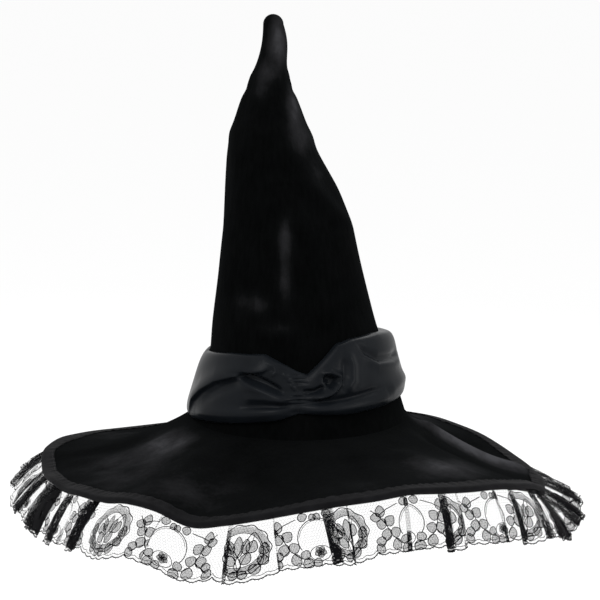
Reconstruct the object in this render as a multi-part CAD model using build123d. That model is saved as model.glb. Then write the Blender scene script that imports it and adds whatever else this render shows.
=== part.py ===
"""Witch hat: tall velvet crown with a crooked tip, satin band, wired velvet brim and a gathered lace edge.

Millimetres. +Z runs up the crown and -Y is the front. The origin is the middle of the head opening, where
the crown meets the brim. The crown is cut at two bending places and the brim at one on each side. Each
cut is a body boundary: the cloth is whole there, and the pieces only stand for how it bends.
"""

from build123d import *

import math
import os

# ---- head opening and crown -------------------------------------------------------------------------
HEAD_R = 91.5  # inside of the sweatband: 575 mm round, an adult medium
SWEATBAND = dict(thick=1.0, low=-6.0, high=16.0)
CROWN_BASE_R = 102.0
# height, radius and sideways place of the crown's middle
CROWN_STATIONS = [
    (0, CROWN_BASE_R, 0.0),
    (18, 96.3, 0.0),
    (61, 81.3, -1.5),
    (90, 75.6, -4.5),
    (136, 67.3, -7.0),
    (181, 59.3, -9.5),
    (215, 51.8, -15.5),
    (250, 41.4, -24.0),
    (272, 35.2, -26.4),
    (295, 27.3, -27.0),
    (311, 20.9, -27.0),
    (322, 16.4, -26.4),
    (331, 13.6, -25.0),
    (345, 12.2, -22.4),
    (357, 11.0, -22.0),
    (367, 9.4, -23.4),
]
CROWN_FACETS = 36
VELVET, INTERLINING, LINING = 1.5, 1.0, 0.5
LAYER_GAP = 0.15
SEAM_WIDTH = 10.0  # seam allowances of the crown's back seam, pressed open
CROWN_LEAN_DEG = 5.1  # how far the back seam leans with the crown
LINING_TOP = 285.0
WADDING_LOW = 276.0
WIRE_R = 0.8

# ---- bending places of the crown --------------------------------------------------------------------
LEAN_PIVOT = Vector(-10.5, 0, 190)
LEAN_BALL_R = 64.0
TIP_PIVOT = Vector(-26.4, 0, 322)
TIP_BALL_R = 20.0
SLIDE_GAP = 0.5

# ---- brim -------------------------------------------------------------------------------------------
BRIM_WIDTH = 143.0  # cut width of the flat ring, crown seam to edge
BRIM_STEP = 7.5  # degrees between the droop values below, from the right, over the back
BELL_STEP = 15
BRIM_DROOP = [
    64, 66, 66, 65, 62, 58, 55, 52, 51, 51, 52, 53, 55, 57, 58, 59,
    59, 58, 56, 53, 49, 45, 41, 39, 38, 42, 42, 38, 38, 34, 32, 27,
    29, 39, 34, 27, 20, 15, 12, 9, 12, 16, 20, 27, 35, 46, 59, 64,
]  # fmt: skip
# share by which the brim falls faster beside the crown than at its edge, every 15 degrees
BRIM_BELL = [
    0.7, 0.9, 0.7, 0.6, 0.55, 0.55, 0.55, 0.6, 0.7, 0.85, 1.1, 1.4,
    1.0, 0.75, 0.6, 0.5, 0.5, 0.5, 0.5, 0.5, 0.5, 0.5, 0.5, 0.57,
]  # fmt: skip
BRIM_INNER_R = CROWN_BASE_R + 0.4
BRIM_FACETS = 60
STIFFENER, FACING = 1.2, 0.8
EDGE_WIRE_R = 1.0
BINDING = dict(width=11.0, thick=0.7)

# ---- folding wings of the brim ----------------------------------------------------------------------
WING_CUT_X = 147.0
WING_GAP = 4.0

# ---- lace -------------------------------------------------------------------------------------------
LACE_DEPTH = 54.0
LACE_THICK = 0.5
LACE_PLEATS = 44
LACE_PLEAT_IN = 7.0  # how far each fold tucks in behind the next
LACE_FLARE = 0.30  # outward lean of the hanging lace, as a share of its depth
LACE_SIDE_FLARE = 0.45  # more of it at the two sides, where the net stands off the brim

# ---- satin band -------------------------------------------------------------------------------------
BAND_THICK = 3.5  # several soft folds of satin
BAND_CLEAR = 0.6
# angle from the right over the back, lower edge, upper edge
BAND_EDGES = [
    (-90, 23, 49), (-84, 22, 57), (-75, 21, 68), (-62, 20, 80), (-50, 21, 85), (-25, 22, 85),
    (0, 24, 80), (45, 20, 73), (90, 14, 66), (135, 8, 62), (180, 3, 61), (197, 3, 65),
    (224, 8, 71), (250, 14, 73), (258, 16, 70), (265, 20, 61),
]  # fmt: skip
BAND_JOIN_ANGLE = 90.0


# ---- shared shapes ----------------------------------------------------------------------------------
def flat_faces(corners):
    """Flat faces over three or four corners: one if they lie in a plane, or two triangles."""
    points = []
    for corner in corners:
        if all((corner - p).length > 1e-6 for p in points):
            points.append(corner)
    if len(points) < 3:
        return []
    if len(points) == 4:
        a, b, c, d = points
        if abs((b - a).cross(c - a).dot(d - a)) > 1e-6:
            return [*flat_faces([a, b, c]), *flat_faces([a, c, d])]
    return [Face(Wire.make_polygon(points, close=True))]


def faceted(sections, closed=True):
    """Flat-faced solid through loops of points. Closed goes round once; open has flat ends.

    A bent quad is always cut from its inner corner on the near loop, so that stacked layers cut alike.
    """
    faces = []
    following = sections[1:] + (sections[:1] if closed else [])
    for near, far in zip(sections, following):
        for i in range(len(near)):
            j = (i + 1) % len(near)
            quad = [near[i], near[j], far[j], far[i]]
            if math.hypot(near[i].X, near[i].Y) > math.hypot(near[j].X, near[j].Y):
                quad = [near[j], far[j], far[i], near[i]]
            faces += flat_faces(quad)
    if not closed:
        faces += flat_faces(sections[0]) + flat_faces(sections[-1])
    return Solid(Shell(faces))


def smooth_round(values, degrees, step):
    """Value at an angle on a closed curve through equally spaced values (Catmull-Rom)."""
    place = (degrees / step) % len(values)
    i, t = int(place), place - int(place)
    a, b, c, d = (values[(i + k) % len(values)] for k in (-1, 0, 1, 2))
    return b + 0.5 * t * (c - a + t * (2 * a - 5 * b + 4 * c - d + t * (3 * (b - c) + d - a)))


def ease(t):
    return t * t * (3 - 2 * t)


def crown_at(z):
    """Radius and sideways place of the crown at a height."""
    for (z0, r0, x0), (z1, r1, x1) in zip(CROWN_STATIONS, CROWN_STATIONS[1:]):
        if z <= z1:
            t = (z - z0) / (z1 - z0)
            return r0 + t * (r1 - r0), x0 + t * (x1 - x0)
    return CROWN_STATIONS[-1][1:]


def crown_profile(inset, degrees):
    """Points up the crown at one angle, set in from the outer cloth face, with a round end."""
    a = math.radians(degrees)
    z_top, r_top, x_top = CROWN_STATIONS[-1]
    round_end = [math.radians(k) for k in (30, 60, 90)]
    rows = [(z, r - inset, x) for z, r, x in CROWN_STATIONS]
    tip_r = r_top - inset
    rows += [(z_top + tip_r * math.sin(k), tip_r * math.cos(k) if k < 1.5 else 0, x_top) for k in round_end]
    return [Vector(x + r * math.cos(a), r * math.sin(a), z) for z, r, x in rows]


def round_angles(count):
    return [i * 360 / count for i in range(count)]


def crown_body(inset):
    """The crown as one filled solid."""
    sections = []
    for degrees in round_angles(CROWN_FACETS):
        up = crown_profile(inset, degrees)
        sections.append([Vector(CROWN_STATIONS[0][2], 0, up[0].Z), *up])
    return faceted(sections)


def crown_layer(outside, thick):
    """One layer of the crown's cloth between two insets."""
    sections = []
    for degrees in round_angles(CROWN_FACETS):
        outer = crown_profile(outside, degrees)
        inner = crown_profile(outside + thick, degrees)
        sections.append([*outer, *reversed(inner)])
    return faceted(sections)


def slab(low, high):
    """Everything between two heights."""
    return Pos(0, 0, (low + high) / 2) * Box(800, 800, high - low)


def brim_drop(degrees):
    return smooth_round(BRIM_DROOP, degrees, BRIM_STEP)


def brim_point(degrees, share, under=0.0):
    """Point of the brim's top face, from 0 at the crown to 1 at the edge, lowered by under."""
    drop = brim_drop(degrees)
    reach = math.sqrt(BRIM_WIDTH**2 - drop**2)
    r = BRIM_INNER_R + share * reach
    bell = smooth_round(BRIM_BELL, degrees, BELL_STEP)
    z = -drop * share * (1 + bell * (1 - share)) - under
    a = math.radians(degrees)
    return Vector(r * math.cos(a), r * math.sin(a), z)


def brim_section(top, bottom, degrees):
    """Loop of points round a brim layer between two depths under the top face."""
    under_binding = 1 - BINDING["width"] / BRIM_WIDTH
    shares = [0, 0.25, 0.5, 0.75, under_binding, 1]
    upper = [brim_point(degrees, s, top) for s in shares]
    return upper + [brim_point(degrees, s, bottom) for s in reversed(shares)]


def brim_ring(section):
    return faceted([section(degrees) for degrees in round_angles(BRIM_FACETS)])


def wings(shape):
    """Splits a brim layer into its left wing, its centre and its right wing."""
    far, half = 600, WING_CUT_X - WING_GAP
    outside = {"left": -1, "right": 1}
    parts = {
        name: shape & (Pos(side * (WING_CUT_X + far / 2), 0, 0) * Box(far, 2 * far, far))
        for name, side in outside.items()
    }
    centre = shape
    for side in outside.values():
        centre -= Pos(side * (half + far / 2), 0, 0) * Box(far, 2 * far, far)
    return {"left": parts["left"], "centre": centre, "right": parts["right"]}


# ---- crown ------------------------------------------------------------------------------------------
def split_crown(shape):
    """Splits a crown layer at the two bending places. Each cut is a ball about its pivot."""
    above_lean = slab(LEAN_PIVOT.Z, 500)
    above_tip = slab(TIP_PIVOT.Z, 500)

    def ball(pivot, r):
        return Pos(*pivot) * Sphere(r)

    lower = shape - (above_lean - ball(LEAN_PIVOT, LEAN_BALL_R - SLIDE_GAP))
    rest = (shape & above_lean) - ball(LEAN_PIVOT, LEAN_BALL_R)
    if shape.bounding_box().max.Z < TIP_PIVOT.Z:
        return {"lower": lower, "upper": rest}
    upper = rest - (above_tip - ball(TIP_PIVOT, TIP_BALL_R - SLIDE_GAP))
    tip = (rest & above_tip) - ball(TIP_PIVOT, TIP_BALL_R)
    return {"lower": lower, "upper": upper, "tip": tip}


def back_strip(width):
    """Leaning upright slab at the back of the crown, where its seam is."""
    return Rot(0, -CROWN_LEAN_DEG, 0) * Pos(0, 100, 200) * Box(width, 200, 460)


def crown_parts():
    velvet = split_crown(crown_layer(0, VELVET))
    under_velvet = VELVET + LAYER_GAP
    middle = crown_layer(under_velvet, INTERLINING) & slab(0, LINING_TOP)
    interlining = split_crown(middle - back_strip(SEAM_WIDTH + 2))
    seam = split_crown(middle & back_strip(SEAM_WIDTH))
    under_interlining = under_velvet + INTERLINING + LAYER_GAP
    lining = split_crown(crown_layer(under_interlining, LINING) & slab(0, WADDING_LOW - 2))
    parts = {f"crown_velvet_{k}": v for k, v in velvet.items()}
    for k in ("lower", "upper"):
        parts[f"crown_interlining_{k}"] = interlining[k]
        parts[f"crown_back_seam_{k}"] = seam[k]
        parts[f"crown_lining_{k}"] = lining[k]
    return parts


def wadding_parts():
    """Fibre filling of the tip round its shaping wire, both parted where the tip bends."""
    clear = VELVET + INTERLINING + 3 * LAYER_GAP
    filling = crown_body(clear) & slab(WADDING_LOW, 500)
    route = [(z + 4, x) for z, _, x in CROWN_STATIONS if WADDING_LOW - 8 < z < 360]
    wire_line = Spline(*[Vector(x, 0, z) for z, x in route])
    start = Plane(origin=wire_line @ 0, z_dir=wire_line % 0)
    wire = sweep(start * Circle(WIRE_R), path=wire_line)
    channel = sweep(start * Circle(WIRE_R + LAYER_GAP), path=wire_line)
    filling = split_crown(filling - channel)
    wire = split_crown(wire)
    return {
        "crown_top_wadding": filling["upper"],
        "tip_wadding": filling["tip"],
        "crown_top_wire": wire["upper"],
        "tip_wire": wire["tip"],
    }


def sweatband():
    low, high, thick = SWEATBAND["low"], SWEATBAND["high"], SWEATBAND["thick"]
    return slab(low, high) & (Cylinder(HEAD_R + thick, 100) - Cylinder(HEAD_R, 100))


def crown_brim_seam():
    """Turned seam allowances of crown and brim, which the sweatband is sewn to."""
    inner = HEAD_R + SWEATBAND["thick"] + LAYER_GAP
    ring = Cylinder(CROWN_BASE_R, 20) - Cylinder(inner, 20)
    return ring & slab(-VELVET - STIFFENER - FACING - 2 * LAYER_GAP, -LAYER_GAP)


# ---- brim -------------------------------------------------------------------------------------------
def brim_parts():
    depths = [("velvet", VELVET), ("stiffener", STIFFENER), ("facing", FACING)]
    layers, top = {}, 0.0
    for name, thick in depths:
        layers[name] = wings(brim_ring(lambda a: brim_section(top, top + thick, a)))
        top += thick + LAYER_GAP
    layers["wire"] = wings(brim_ring(lambda a: edge_wire_section(top, a)))
    layers["binding"] = wings(brim_ring(lambda a: binding_section(top, a)))
    return {f"brim_{name}_{k}": v for name, sides in layers.items() for k, v in sides.items()}


def edge_wire_section(stack, degrees):
    """Eight-sided section of the brim's edge wire, just outside the layers, in the fold of the binding."""
    a = math.radians(degrees)
    out = Vector(math.cos(a), math.sin(a), 0)
    middle = brim_point(degrees, 1.0, stack / 2) + out * (EDGE_WIRE_R + LAYER_GAP)
    spokes = [math.radians(k * 45) for k in range(8)]
    return [middle + (out * math.cos(k) + Vector(0, 0, math.sin(k))) * EDGE_WIRE_R for k in spokes]


def binding_section(stack, degrees):
    """Loop round the tape folded over the brim's edge: a flat C that holds the layers and the wire."""
    inward = 1 - BINDING["width"] / BRIM_WIDTH
    skin = BINDING["thick"]
    a = math.radians(degrees)
    out = Vector(math.cos(a), math.sin(a), 0)
    beyond = out * (2 * EDGE_WIRE_R + 2 * LAYER_GAP)
    inner = [
        brim_point(degrees, inward, -LAYER_GAP),
        brim_point(degrees, 1, -LAYER_GAP),
        brim_point(degrees, 1, stack / 2 - 1.2) + beyond,
        brim_point(degrees, 1, stack / 2 + 1.2) + beyond,
        brim_point(degrees, 1, stack + LAYER_GAP),
        brim_point(degrees, inward, stack + LAYER_GAP),
    ]
    outer = [
        brim_point(degrees, inward, -LAYER_GAP - skin),
        brim_point(degrees, 1, -LAYER_GAP - skin),
        brim_point(degrees, 1, stack / 2 - 1.6) + beyond + out * skin,
        brim_point(degrees, 1, stack / 2 + 1.6) + beyond + out * skin,
        brim_point(degrees, 1, stack + LAYER_GAP + skin),
        brim_point(degrees, inward, stack + LAYER_GAP + skin),
    ]
    return outer + inner[::-1]


# ---- lace -------------------------------------------------------------------------------------------
def lace_panel(top, bottom, thick):
    """Flat plate hanging from a pair of top points to about a pair of bottom points."""
    a, b = top
    middle = (bottom[0] + bottom[1]) / 2
    normal = (b - a).cross(middle - a).normalized()
    low = [p - normal * (p - a).dot(normal) for p in bottom]
    side = normal * (thick / 2)
    ends = [(a, b), low]
    return faceted([[p + side, q + side, q - side, p - side] for p, q in ends], closed=False)


def lace_parts():
    """Gathered lace as hanging pleats: a wide face, then a short tuck back behind the next face."""
    stack = VELVET + STIFFENER + FACING + 3 * LAYER_GAP
    clear = BINDING["thick"] + 2 * LAYER_GAP + 1.2
    turn = 360 / LACE_PLEATS
    panels = {"front": [], "back": [], "left": [], "right": []}
    for i in range(LACE_PLEATS):
        angles = (i * turn + 0.25, (i + 0.86) * turn, (i + 0.99) * turn)
        top, bottom = [], []
        for angle, tuck in zip(angles, (0, 0, LACE_PLEAT_IN)):
            a = math.radians(angle)
            out = Vector(math.cos(a), math.sin(a), 0)
            edge = brim_point(angle, 1, stack + clear)
            lean = LACE_DEPTH * (LACE_FLARE + LACE_SIDE_FLARE * abs(math.cos(a)) ** 4)
            fall = math.sqrt(LACE_DEPTH**2 - lean**2)
            top.append(edge - out * (1 + tuck))
            bottom.append(edge + out * (lean - 1 - tuck) - Vector(0, 0, fall))
        face = lace_panel((top[0], top[1]), (bottom[0], bottom[1]), LACE_THICK)
        tuck_top = (top[1] + (top[2] - top[1]) * 0.15, top[2])
        tuck_bottom = (bottom[1] + (bottom[2] - bottom[1]) * 0.15, bottom[2])
        tuck = lace_panel(tuck_top, tuck_bottom, LACE_THICK)
        ends = [p.X for p in top]
        if min(ends) > WING_CUT_X:
            where = "right"
        elif max(ends) < -WING_CUT_X:
            where = "left"
        elif max(abs(x) for x in ends) < WING_CUT_X:
            where = "back" if top[0].Y > 0 else "front"
        else:
            continue  # the pleat on the fold line is left open, so the wing can turn
        panels[where] += [face, tuck]
    return {f"lace_{k}": Compound(children=v) for k, v in panels.items()}


# ---- satin band -------------------------------------------------------------------------------------
def band_edges(degrees):
    """Lower and upper edge of the band at an angle, eased between the listed ones."""
    stations = [*BAND_EDGES, (270, *BAND_EDGES[0][1:])]
    at = (degrees + 90) % 360 - 90
    for (a0, l0, h0), (a1, l1, h1) in zip(stations, stations[1:]):
        if at <= a1:
            t = ease((at - a0) / (a1 - a0))
            return l0 + t * (l1 - l0), h0 + t * (h1 - h0)
    return stations[-1][1:]


def on_crown(degrees, z, away):
    """Point off the crown's cloth at an angle and a height."""
    a = math.radians(degrees)
    r, x = crown_at(z)
    return Vector(x + (r + away) * math.cos(a), (r + away) * math.sin(a), z)


def band_section(clear, thick, degrees):
    low, high = band_edges(degrees)
    heights = [low, (low + high) / 2, high]
    outer = [(low + 2, clear + thick), ((low + high) / 2, clear + thick), (high - 2, clear + thick)]
    inside = [on_crown(degrees, z, clear) for z in heights]
    return inside + [on_crown(degrees, z, away) for z, away in reversed(outer)]


def join_section(degrees):
    """Section of the flat tab that covers the band's ends."""
    low, high = band_edges(degrees)
    clear = BAND_CLEAR + BAND_THICK + 0.6
    corners = [(low + 3, clear), (high - 3, clear), (high - 3, clear + 1.2), (low + 3, clear + 1.2)]
    return [on_crown(degrees, z, away) for z, away in corners]


def band_parts():
    ring = [band_section(BAND_CLEAR, BAND_THICK, a) for a in round_angles(CROWN_FACETS)]
    join = [join_section(BAND_JOIN_ANGLE + k * 5) for k in (-2, -1, 0, 1, 2)]
    return {
        "satin_band": faceted(ring),
        "satin_band_back_join": faceted(join, closed=False),
        "band_front_tack": tacks([(270, t) for t in (0.25, 0.5, 0.75)], length=6.0),
        "band_side_tacks": tacks([(a, 0.5) for a in (0, 60, 120, 180)], length=4.0),
    }


def tacks(places, length):
    """Thread stitches lying on the band: short upright bars with round ends."""
    bars = []
    for degrees, share in places:
        low, high = band_edges(degrees)
        z = low + share * (high - low)
        r, x = crown_at(z - length / 2)
        a = math.radians(degrees)
        reach = r + BAND_CLEAR + BAND_THICK + 1.2
        bars.append(Pos(reach * math.cos(a) + x, reach * math.sin(a), z) * Cylinder(0.4, length))
    return Compound(children=bars)


def build():
    return {
        **crown_parts(),
        **wadding_parts(),
        "sweatband": sweatband(),
        "crown_brim_seam": crown_brim_seam(),
        **brim_parts(),
        **lace_parts(),
        **band_parts(),
    }


if __name__ == "__main__":
    os.makedirs("parts", exist_ok=True)
    for name, shape in build().items():
        export_step(shape, f"parts/{name}.step")
        print(name, len(shape.solids()), round(shape.volume))
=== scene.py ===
"""Witch hat: velvet crown and brim, folded satin band, taped edge and gathered lace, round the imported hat.

The making is worked out in millimetres and every mesh is written in metres. Angles go round the head
opening from the hat's right-hand side as it is seen from the front, over the back, so 270 is the front.
"""

import math

import bmesh
import bpy
import numpy as np
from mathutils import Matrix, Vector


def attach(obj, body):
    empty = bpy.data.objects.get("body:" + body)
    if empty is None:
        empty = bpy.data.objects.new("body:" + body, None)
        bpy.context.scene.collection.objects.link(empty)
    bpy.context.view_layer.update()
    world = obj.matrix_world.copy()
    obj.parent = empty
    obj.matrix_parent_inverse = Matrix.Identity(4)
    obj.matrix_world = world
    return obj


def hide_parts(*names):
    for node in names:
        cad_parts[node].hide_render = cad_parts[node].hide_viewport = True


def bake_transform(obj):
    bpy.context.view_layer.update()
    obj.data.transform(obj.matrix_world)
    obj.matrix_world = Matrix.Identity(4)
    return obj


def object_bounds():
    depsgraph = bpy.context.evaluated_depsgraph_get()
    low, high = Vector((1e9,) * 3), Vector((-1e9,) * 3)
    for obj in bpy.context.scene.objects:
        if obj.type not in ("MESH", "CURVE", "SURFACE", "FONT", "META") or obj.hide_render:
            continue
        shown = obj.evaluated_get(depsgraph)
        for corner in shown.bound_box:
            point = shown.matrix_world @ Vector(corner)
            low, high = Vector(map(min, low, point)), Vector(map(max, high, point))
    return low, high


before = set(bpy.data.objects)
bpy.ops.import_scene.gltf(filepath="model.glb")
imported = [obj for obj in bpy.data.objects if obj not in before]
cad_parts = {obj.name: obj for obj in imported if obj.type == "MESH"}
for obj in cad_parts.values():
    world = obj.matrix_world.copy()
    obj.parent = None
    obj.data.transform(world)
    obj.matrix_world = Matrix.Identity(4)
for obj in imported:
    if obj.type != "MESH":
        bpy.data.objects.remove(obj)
cad_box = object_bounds()

MM = 0.001
rng = np.random.default_rng(31)

# ---- the hat's own sizes ----------------------------------------------------------------------------
CROWN_STATIONS = [
    (0, 102.0, 0.0), (18, 96.3, 0.0), (61, 81.3, -1.5), (90, 75.6, -4.5), (136, 67.3, -7.0),
    (181, 59.3, -9.5),
    (215, 51.8, -15.5), (250, 41.4, -24.0), (272, 35.2, -26.4), (295, 27.3, -27.0), (311, 20.9, -27.0),
    (322, 16.4, -26.4), (331, 13.6, -25.0), (345, 12.2, -22.4), (357, 11.0, -22.0), (367, 9.4, -23.4),
]  # fmt: skip
CROWN_SPLIT = 285.0
LINING_TOP = 274.0
BRIM_WIDTH, BRIM_INNER_R = 143.0, 102.4
# fall of the brim's edge every 7.5 degrees, then by how much faster it falls beside the crown, every 15
BRIM_DROOP = [
    64, 66, 66, 65, 62, 58, 55, 52, 51, 51, 52, 53, 55, 57, 58, 59,
    59, 58, 56, 53, 49, 45, 41, 39, 38, 42, 42, 38, 38, 34, 32, 27,
    29, 39, 34, 27, 20, 15, 12, 9, 12, 16, 20, 27, 35, 46, 59, 64,
]  # fmt: skip
BRIM_BELL = [
    0.7, 0.9, 0.7, 0.6, 0.55, 0.55, 0.55, 0.6, 0.7, 0.85, 1.1, 1.4,
    1.0, 0.75, 0.6, 0.5, 0.5, 0.5, 0.5, 0.5, 0.5, 0.5, 0.5, 0.57,
]  # fmt: skip
VELVET, STIFFENER, FACING, LAYER_GAP = 1.5, 1.2, 0.8, 0.15
BRIM_STACK = VELVET + STIFFENER + FACING + 2 * LAYER_GAP
TAPE_WIDTH, TAPE_THICK = 9.0, 0.7
LACE_DEPTH = 54.0
SWEATBAND_R = 91.5


# ---- meshes -----------------------------------------------------------------------------------------
def mesh_piece(name, points, faces, material=None, weld=0.0, turn_out=True):
    """Object at the origin from points in millimetres, its faces smooth and turned outwards."""
    mesh = bpy.data.meshes.new(name)
    mesh.from_pydata((np.asarray(points) * MM).tolist(), [], np.asarray(faces).tolist())
    if weld or turn_out:
        bm = bmesh.new()
        bm.from_mesh(mesh)
        if weld:
            bmesh.ops.remove_doubles(bm, verts=bm.verts, dist=weld * MM)
        if turn_out:
            bmesh.ops.recalc_face_normals(bm, faces=bm.faces)
        bm.to_mesh(mesh)
        bm.free()
    return placed(name, mesh, material, turn_out)


def placed(name, mesh, material=None, crisp=True):
    """Puts a mesh in the scene, smooth but for its sharp corners."""
    mesh.polygons.foreach_set("use_smooth", [True] * len(mesh.polygons))
    if crisp:
        mesh.set_sharp_from_angle(angle=math.radians(50))
    piece = bpy.data.objects.new(name, mesh)
    bpy.context.scene.collection.objects.link(piece)
    if material:
        mesh.materials.append(material)
    return piece


def grid_faces(rows, columns, wrap_rows=False, wrap_columns=False):
    """Quads over a grid of points stored row by row."""
    i = np.arange(rows if wrap_rows else rows - 1)[:, None]
    j = np.arange(columns if wrap_columns else columns - 1)[None, :]
    i2, j2 = (i + 1) % rows, (j + 1) % columns
    corners = [i * columns + j, i * columns + j2, i2 * columns + j2, i2 * columns + j]
    return np.stack([np.broadcast_to(c, (i.shape[0], j.shape[1])) for c in corners], -1).reshape(-1, 4)


def sewn_grid(name, grid, material, wrap_rows=False, wrap_columns=False, weld=0.0):
    rows, columns = grid.shape[:2]
    faces = grid_faces(rows, columns, wrap_rows, wrap_columns)
    return mesh_piece(name, grid.reshape(-1, 3), faces, material, weld)


def closed_tube(name, loops, material):
    """Closed solid through loops of points, its two ends filled."""
    rows, columns = loops.shape[:2]
    faces = grid_faces(rows, columns, wrap_columns=True).tolist()
    faces += [list(range(columns)), list(range((rows - 1) * columns, rows * columns))]
    mesh = bpy.data.meshes.new(name)
    mesh.from_pydata((loops.reshape(-1, 3) * MM).tolist(), [], faces)
    bm = bmesh.new()
    bm.from_mesh(mesh)
    bmesh.ops.recalc_face_normals(bm, faces=bm.faces)
    bm.to_mesh(mesh)
    bm.free()
    return placed(name, mesh, material)


# ---- shapes of cloth --------------------------------------------------------------------------------
def ease(t):
    t = np.clip(t, 0, 1)
    return t * t * (3 - 2 * t)


def waves(a, b, parts):
    """Slow uneven swell from a few crossed waves: each part is height, how often each way, and phase."""
    return sum(h * np.sin(a * fa + b * fb + phase) for h, fa, fb, phase in parts)


def folds(x, y, lines):
    """Height of ridges and creases along drawn lines: each is its points, its height, and its width to the
    left of the line, with another width after it where the right side is sharper or flatter."""
    total = np.zeros(np.broadcast(x, y).shape)
    for points, height, *widths in lines:
        ends = np.array(points, float)
        lengths = np.hypot(*(ends[1:] - ends[:-1]).T)
        before = np.concatenate([[0], np.cumsum(lengths)])
        nearest, along, left = np.full(total.shape, np.inf), np.zeros(total.shape), np.ones(total.shape, bool)
        for a, b, start, length in zip(ends, ends[1:], before, lengths):
            t = np.clip(((x - a[0]) * (b - a)[0] + (y - a[1]) * (b - a)[1]) / length**2, 0, 1)
            gap = np.hypot(x - a[0] - t * (b - a)[0], y - a[1] - t * (b - a)[1])
            side = (b - a)[0] * (y - a[1]) - (b - a)[1] * (x - a[0]) > 0
            left = np.where(gap < nearest, side, left)
            along = np.where(gap < nearest, (start + t * length) / before[-1], along)
            nearest = np.minimum(nearest, gap)
        width = np.where(left, widths[0], widths[-1])
        ends_off = ease(4 * along + 0.25) * ease(4 * (1 - along) + 0.25)
        total += height * np.exp(-((nearest / width) ** 2)) * ends_off
    return total


def smooth_table(stations, column, step=0.5, soft=5.0):
    """Station values along the crown, rounded where the straight runs meet."""
    z = np.arange(-60, 440, step)
    low, high = stations[0], stations[-1]
    value = np.interp(z, [s[0] for s in stations], [s[column] for s in stations])
    slope = (stations[1][column] - low[column]) / (stations[1][0] - low[0])
    value = np.where(z < 0, low[column] + slope * z, value)
    slope = (high[column] - stations[-2][column]) / (high[0] - stations[-2][0])
    value = np.where(z > high[0], high[column] + slope * (z - high[0]), value)
    kernel = np.exp(-0.5 * (np.arange(-40, 41) * step / soft) ** 2)
    return z, np.convolve(value, kernel / kernel.sum(), mode="same")


CROWN_Z, CROWN_R = smooth_table(CROWN_STATIONS, 1)
CROWN_X = smooth_table(CROWN_STATIONS, 2)[1]
CROWN_R = CROWN_R + 0.8 * ease((CROWN_Z - 10) / 40) * ease((300 - CROWN_Z) / 80)

# angle and height points, height of the fold, width of the fold
CROWN_FOLDS = [
    ([(268, 96), (265, 130), (266, 165), (262, 205)], 1.5, 9),
    ([(240, 120), (238, 165), (244, 210)], -1.3, 11),
    ([(296, 235), (312, 215), (330, 196), (352, 182)], 2.2, 9),
    ([(285, 215), (305, 190), (330, 172)], -1.8, 10),
    ([(215, 285), (245, 268), (275, 262)], 1.3, 8),
    ([(300, 300), (285, 280), (292, 250)], 1.6, 7),
    ([(268, 300), (262, 282), (266, 252)], -1.4, 7),
    ([(200, 316), (235, 308), (275, 306), (320, 312), (350, 320)], -1.5, 4.5),
    ([(210, 326), (250, 320), (290, 322)], 1.0, 4),
    ([(60, 240), (80, 200), (75, 150)], 1.6, 12),
    ([(120, 250), (110, 190), (118, 120)], -1.5, 12),
    ([(20, 150), (32, 110), (28, 80)], 1.4, 10),
    ([(160, 210), (150, 160), (156, 110)], 1.4, 11),
]


FOLD_ROUND = 50  # radius at which the angles of the crown's folds are turned into lengths


def crown_surface(degrees, z, inset):
    """Crown cloth at angles and heights. The round end goes on above the last station."""
    a = np.radians(degrees)
    r, x = np.interp(z, CROWN_Z, CROWN_R), np.interp(z, CROWN_Z, CROWN_X)
    lines = [([((d + 90) % 360 * math.pi / 180 * FOLD_ROUND, h) for d, h in p], k, w) for p, k, w in CROWN_FOLDS]
    soft = folds(np.mod(degrees + 90, 360) * math.pi / 180 * FOLD_ROUND, z, lines)
    soft = soft + waves(a, z, [(0.55, 3, 0.021, 0.4), (0.45, 5, -0.034, 2.1), (0.35, 8, 0.05, 4.0)])
    soft = soft * ease(z / 40) * np.clip(r / 30, 0.35, 1)
    away = r - inset + soft
    return np.stack([x + away * np.cos(a), away * np.sin(a), z + 0 * a], -1)


def crown_rows(low, high, inset, closed_top):
    """Heights up the crown, then the dome's latitudes when the top is closed."""
    angles = np.linspace(0, 360, 180, endpoint=False)
    z = np.linspace(low, high, round((high - low) / 2.5) + 1)
    rows = crown_surface(angles[:, None], z[None, :], inset)
    spread = 1 + 0.006 * np.exp(-np.clip(z + 1, 0, None) / 1.6)
    rows[..., :2] *= spread[None, :, None]
    if closed_top:
        middle = np.array([np.interp(high, CROWN_Z, CROWN_X), 0, high])
        ring = rows[:, -1] - middle
        ring[:, 2] = 0
        rise = [math.radians(k) for k in range(9, 91, 9)]
        size = np.hypot(ring[:, 0], ring[:, 1]).mean()
        dome = [middle + ring * math.cos(k) + np.array([0, 0, size * math.sin(k)]) for k in rise]
        rows = np.concatenate([rows, np.stack(dome, 1)], 1)
    return rows


def crown_cloth(name, low, high, outside, thick, material, closed_top=False):
    outer = crown_rows(low, high, outside, closed_top)
    inner = crown_rows(low, high, outside + thick, closed_top)
    loops = np.concatenate([outer, inner[:, ::-1]], 1)
    return sewn_grid(name, loops, material, wrap_rows=True, wrap_columns=True, weld=0.01)


def round_table(values, degrees):
    """Value at an angle on a smooth closed curve through values evenly spaced round the hat."""
    count = len(values)
    place = np.mod(degrees, 360) * count / 360
    i = np.floor(place).astype(int)
    t = place - i
    table = np.array(values, float)
    a, b, c, d = (table[(i + k) % count] for k in (-1, 0, 1, 2))
    return b + 0.5 * t * (c - a + t * (2 * a - 5 * b + 4 * c - d + t * (3 * (b - c) + d - a)))


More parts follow.
